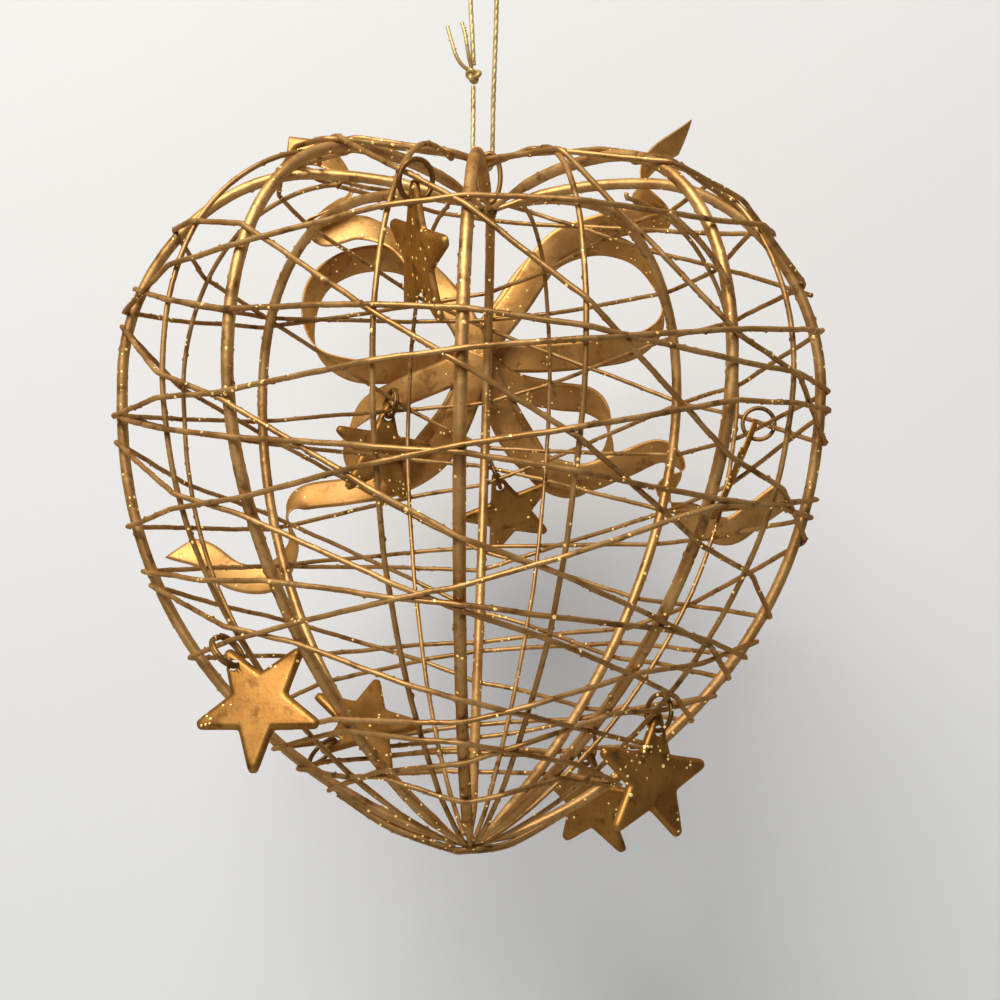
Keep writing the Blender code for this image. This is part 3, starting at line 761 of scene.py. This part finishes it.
# A lumpy drop: a ball, wider than high, its radius changed by a few waves round and down it
def makeBead(name):
    middle, radius, height, seed = beads[name]
    dice = np.random.default_rng(seed)
    rows, columns = bead["rows"], bead["columns"]
    first, second, third = bead["swells"]
    down = np.linspace(0.02, math.pi - 0.02, rows)[:, None]
    turn = np.linspace(0, 2 * math.pi, columns, endpoint=False)[None, :]
    a, b, c = dice.uniform(0, 2 * math.pi, 3)
    swell = 1 + first * np.sin(3 * turn + a) * np.sin(down)
    swell = swell + second * np.sin(5 * turn + 4 * down + b) + third * np.cos(3 * down + c)
    x = swell * np.sin(down) * np.cos(turn) * radius
    y = swell * np.sin(down) * np.sin(turn) * radius
    z = swell * np.cos(down) * np.ones_like(turn) * height / 2
    points = np.stack([x, y, z], axis=-1).reshape(-1, 3) + inRow([(0, 0, middle)])
    piece = addPiece(name + "_solder", points, cappedFaces(rows, columns), jointLook)
    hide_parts(name)


def makeEye():
    turn = np.linspace(0, 2 * math.pi, eye["stations"], endpoint=False)
    x, z = eye["halfWidth"] * np.sin(turn), eye["middle"] - eye["halfHeight"] * np.cos(turn)
    path = inRow(np.column_stack([x, np.zeros_like(x), z]))
    sides, up = eye["sides"], (0, 1, 0)
    piece = tube("eye_wire", path, eye["radius"], sides, up, jointLook, closed=True)
    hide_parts("hanging_eye")


# The radius of a star's outline at each angle, with its straight edges moved in by inset. The tips
# are rounded by a soft minimum, -log(exp(-a) + exp(-b)), of the edge and the tip's own radius.
def starOutline(turn, inset):
    half = math.pi / 5
    part = np.abs((turn - math.pi / 2 + half) % (2 * half) - half)
    part = half - np.hypot(half - part, starTin["waistSoftness"])
    waist = starTin["radius"] * starTin["waist"]
    tip = np.array([starTin["radius"] - starTin["tipCut"], starTin["tipWidth"] / 2])
    edge = np.array([waist * math.cos(half), waist * math.sin(half)]) - tip
    normal = np.array([edge[1], -edge[0]]) / np.linalg.norm(edge)
    straight = (tip @ normal - inset) / (np.cos(part) * normal[0] + np.sin(part) * normal[1])
    soft = starTin["tipSoftness"]
    return -np.logaddexp(-soft * straight, -soft * (starTin["radius"] - inset)) / soft


# A star's tin: rings of points from the middle of its flat face out and down over the rounded
# edge, round the rim and back along the hollow underside, all slightly domed
def starTinGrid(turn):
    low, high = -starTin["depth"] / 2, starTin["depth"] / 2
    flange, sheet = starTin["flange"], starTin["sheet"]
    foot = low + 0.2
    rows = [(flange, high, share) for share in np.linspace(0.05, 1, 8)]
    for b in np.linspace(1, 0, 9)[1:]:
        rows.append((flange * b, foot + (high - foot) * math.sqrt(1 - (1 - b) ** 2), 1))
    rows += [(0.0, low + 0.06, 1), (0.06, low, 1), (sheet, low, 1), (sheet, -sheet / 2, 1)]
    rows += [(flange * 0.7, high - 1.5 * sheet, 1), (flange, high - sheet, 1)]
    rows += [(flange, high - sheet, share) for share in np.linspace(1, 0.05, 8)[1:]]
    grid = []
    for inset, height, share in rows:
        rim = starOutline(turn, inset) * share
        swell = starTin["dome"] * (1 - (rim / starTin["radius"]) ** 2)
        grid.append(np.column_stack([rim * np.cos(turn), rim * np.sin(turn), height + swell]))
    return np.array(grid)


# A star, turned about the hole in its top tip, which hangs at its place on the cage
def makeStar(name):
    azimuth, elevation, offset, turns, ringTilt, ringLean = stars[name]
    turned = turnedBy(turns)
    hole = np.array([0, starTin["radius"] - starTin["holeInset"], 0])
    hungAt = inRow(onCage(azimuth, elevation, 0) + np.array(offset))
    columns = starTin["columns"]
    grid = starTinGrid(np.linspace(0, 2 * math.pi, columns, endpoint=False))
    points = (grid.reshape(-1, 3) - hole) @ turned.T + hungAt
    piece = addPiece(name + "_tin", points, cappedFaces(len(grid), columns), starLook)
    cutHole(piece, hungAt[0], turned[:, 2])
    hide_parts(name)
    makeRing(name, ringTilt, ringLean, turned, hungAt)


# A jump ring: round from the star's hole, turned with the star, once or twice round
def makeRing(starName, ringTilt, ringLean, turned, hungAt):
    name = starName.replace("star", "ring")
    tilt, lean = math.radians(ringTilt), math.radians(ringLean)
    across = np.array([-math.sin(tilt), 0, math.cos(tilt)])
    arm = np.array([0, 1.0, 0])
    out = arm * math.cos(lean) + across * math.sin(lean)
    side = across * math.cos(lean) - arm * math.sin(lean)
    normal = np.cross(out, side)
    loops = 2 if starName in ring["double"] else 1
    around = np.linspace(0, 2 * math.pi * loops, ring["stations"] * loops)[:, None]
    path = (out + out * np.cos(around) + side * np.sin(around)) * ring["radius"]
    if loops == 2:
        path = path + normal * (around / (4 * math.pi) - 0.5) * ring["spacing"]
    path = path @ turned.T + hungAt
    wire = tube(name + "_wire", path, ring["wire"], ring["sides"], turned @ normal, jointLook)
    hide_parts(name)


# The rotation by three turns in degrees, about X, then Y, then Z
def turnedBy(turns):
    about = {axis: Matrix.Rotation(math.radians(t), 3, axis) for axis, t in zip("XYZ", turns)}
    return np.array(about["Z"] @ about["Y"] @ about["X"])


# Cuts a round hole through a piece, along an axis
def cutHole(piece, place, axis):
    side = np.cross(axis, (0.3, 0.5, 0.8))
    side /= np.linalg.norm(side)
    other = np.cross(axis, side)
    sides = starTin["holeSides"]
    turn = np.linspace(0, 2 * math.pi, sides, endpoint=False)[:, None]
    rim = place + (side * np.cos(turn) + other * np.sin(turn)) * starTin["holeRadius"]
    points = np.vstack([rim - axis * 2, rim + axis * 2])
    mesh = bpy.data.meshes.new("hole")
    mesh.from_pydata((points * mm).tolist(), [], cappedFaces(2, sides))
    cutter = bpy.data.objects.new("hole", mesh)
    bpy.context.scene.collection.objects.link(cutter)
    step = piece.modifiers.new("hole", "BOOLEAN")
    step.operation = "DIFFERENCE"
    step.solver = "EXACT"
    step.object = cutter
    graph = bpy.context.evaluated_depsgraph_get()
    done = bpy.data.meshes.new_from_object(piece.evaluated_get(graph))
    piece.modifiers.clear()
    piece.data = done
    bpy.data.objects.remove(cutter, do_unlink=True)


# A strip: a thin, slightly hollow section carried along the smooth curve through its bends and
# rolled as it goes
def makeStrip(name):
    rows = smoothThrough(strips[name], ribbon["stations"])
    path = inRow(rows[:, :3] + onCage(bow["azimuth"], bow["elevation"], bow["standoff"]))
    roll = np.radians(rows[:, 3])[:, None]
    along = tangents(path)
    left = np.cross(along, (0.0, 1.0, 0.0))
    left /= np.linalg.norm(left, axis=1)[:, None]
    across = np.cos(roll) * left + np.sin(roll) * np.cross(along, left)
    face = np.cross(along, across)
    steps = ribbon["cadSteps"] - 1
    cutAway = np.clip((np.linspace(0, 1, len(path)) - 1) * steps + 1, 0, 1)[:, None]
    across = across + along * cutAway * endSlants.get(name, 0.0) / ribbon["width"]
    v = np.linspace(-1, 1, ribbon["across"])
    wide = np.concatenate([v, v[::-1]]) * ribbon["width"] / 2
    hollow = ribbon["cup"] * (1 - v**2)
    deep = np.concatenate([hollow + ribbon["thickness"] / 2, hollow[::-1] - ribbon["thickness"] / 2])
    deep = deep - ribbon["cup"] / 2
    points = path[:, None] + across[:, None] * wide[:, None] + face[:, None] * deep[:, None]
    faces = cappedFaces(len(path), 2 * ribbon["across"])
    piece = addPiece(name + "_strip", points.reshape(-1, 3), faces, ribbonLook)
    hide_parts(name)


# The cord: a tube whose section is two strands side by side, turned as it goes along
def makeCord():
    path = evenPath(smoothThrough(cordRoute, 900), cord["step"])
    reach = reachAlong(path)[:, None]
    turn = np.linspace(0, 2 * math.pi, cord["sides"], endpoint=False)[None, :]
    twist = 2 * math.pi * reach / cord["pitch"] / 2
    radius = cord["radius"] * (1 - cord["groove"] * (1 - np.abs(np.cos(turn - twist))))
    piece = tube("cord_thread", path, radius, cord["sides"], (0.0, 1.0, 0.12), cordLook)
    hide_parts("hanging_cord")
    makeKnot()


# The knot: the thread carried round a small three-turn loop, with its two free ends
def makeKnot():
    turn = np.linspace(0, 2 * math.pi, 160, endpoint=False)
    wide, high = knot["width"] / 2 - cord["radius"], knot["height"] / 2 - cord["radius"]
    x = wide * (np.sin(turn) + 2 * np.sin(2 * turn)) / 3
    z = high * (np.cos(turn) - 2 * np.cos(2 * turn)) / 3
    y = -knot["weave"] * np.sin(3 * turn)
    path = np.column_stack([x, y, z]) + np.array(knot["centre"])
    radius = cord["radius"] * knot["swell"]
    piece = tube("knot_thread", path, radius, 12, (0.1, 1.0, 0.1), cordLook, closed=True)
    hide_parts("cord_knot")
    paths = [evenPath(smoothThrough(way, 80), 0.15) for way in cordEnds]
    radius = cord["radius"] * knot["endShare"]
    ends = tubes("cord_ends", paths, radius, 10, [(0.0, 1.0, 0.1)] * 2, cordLook)
    return [piece, ends]


# Glitter grains stuck to the wires: small four-sided spikes at random places on the paths
def makeGrains(paths):
    count = glitter["count"]
    dice = np.random.default_rng(glitter["seed"])
    line = np.vstack(paths)
    pick = dice.integers(0, len(line), count)
    out = dice.normal(size=(count, 3))
    out /= np.linalg.norm(out, axis=1)[:, None]
    place = line[pick] + out * thinWire["radius"] * glitter["depth"]
    size = dice.uniform(*glitter["sizes"], count)[:, None, None]
    corners = dice.normal(size=(count, 4, 3))
    corners /= np.linalg.norm(corners, axis=2)[:, :, None]
    points = (place[:, None] + corners * size).reshape(-1, 3)
    base = np.arange(count)[:, None, None] * 4
    faces = (base + np.array([[0, 1, 2], [0, 2, 3], [0, 3, 1], [1, 3, 2]])).reshape(-1, 3)
    addPiece("glitter_grains", points, faces.tolist(), grainLook, smooth=False)


for i, name in enumerate(ribs):
    makeRib(name, ribWire["seed"] + i)
for i, name in enumerate(uprights):
    makeUpright(name, thinWire["uprightSeed"] + i)
windingPaths = makeWinding()
makeHoop()
for name in beads:
    makeBead(name)
makeEye()
print("cage made")
for name in stars:
    makeStar(name)
print("stars made")
for name in strips:
    makeStrip(name)
print("bow made")
makeCord()
makeGrains(windingPaths)
print("cord made")


def addPlane(name, place, turns, look):
    mesh = bpy.data.meshes.new(name)
    half = stage["planeWidth"] / 2
    corners = [(-half, -half, 0), (half, -half, 0), (half, half, 0), (-half, half, 0)]
    mesh.from_pydata(corners, [], [(0, 1, 2, 3)])
    mesh.materials.append(look)
    made = bpy.data.objects.new(name, mesh)
    made.location = place
    made.rotation_euler = [math.radians(t) for t in turns]
    bpy.context.scene.collection.objects.link(made)


# A round lamp at its place, looking at the ornament
def addLight(name):
    size, power, place, colour = stage["lights"][name]
    lamp = bpy.data.lights.new(name, "AREA")
    lamp.shape = "DISK"
    lamp.size = size
    lamp.energy = power
    lamp.color = colour
    made = bpy.data.objects.new(name, lamp)
    back = np.array(place) - np.array(stage["litPlace"])
    back /= np.linalg.norm(back)
    right = np.cross((0, 0, 1), back)
    right /= np.linalg.norm(right)
    axes = np.column_stack([right, np.cross(back, right), back])
    made.matrix_world = Matrix([[*row, p] for row, p in zip(axes, place)] + [[0, 0, 0, 1]])
    bpy.context.scene.collection.objects.link(made)


# The wall lets light through from behind, so that the ornament shows in the views from there
def wallPaint():
    look = Look("wall")
    look.surface({"Alpha": 1.0 - look.node("ShaderNodeNewGeometry", output=6)})
    place = look.node("ShaderNodeTexCoord", output=3)
    height = look.node("ShaderNodeSeparateXYZ", {}, {0: place}, output=1)
    # Painted light on the wall: a little lighter and bluer below the lower of the two heights
    tone = look.mix(height.ramp(*stage["wallHeights"]), stage["wallLowPaintedLight"], stage["wallHighPaintedLight"])
    look.surface({"Base Color": tone, "Roughness": stage["matt"], "Specular IOR Level": 0.1})
    return look.material


def floorPaint():
    look = Look("floor")
    look.surface({"Base Color": (*stage["floor"], 1.0), "Roughness": stage["matt"]})
    return look.material


addPlane("wall", (0, stage["wallAt"], 0), (90, 0, 0), wallPaint())
addPlane("floor", stage["floorAt"], (0, 0, 0), floorPaint())
for name in stage["lights"]:
    addLight(name)

world = bpy.data.worlds.new("room")
world.use_nodes = True
background = world.node_tree.nodes["Background"]
background.inputs["Color"].default_value = (*stage["roomColour"], 1.0)
background.inputs["Strength"].default_value = stage["room"]
bpy.context.scene.world = world

camera = bpy.data.cameras.new("camera")
camera.lens = view["lens"]
camera.sensor_width = view["sensor"]
camera.clip_start = 0.01
cameraObject = bpy.data.objects.new("camera", camera)
x, z = view["centre"]
cameraObject.matrix_world = (
    Matrix.Translation((x * mm, -view["distance"] * mm, z * mm))
    @ Matrix.Rotation(math.radians(90), 4, "X")
    @ Matrix.Rotation(math.radians(view["roll"]), 4, "Z")
)
bpy.context.scene.collection.objects.link(cameraObject)
bpy.context.scene.camera = cameraObject
bpy.context.scene.view_settings.view_transform = "Standard"
bpy.context.scene.view_settings.look = "None"
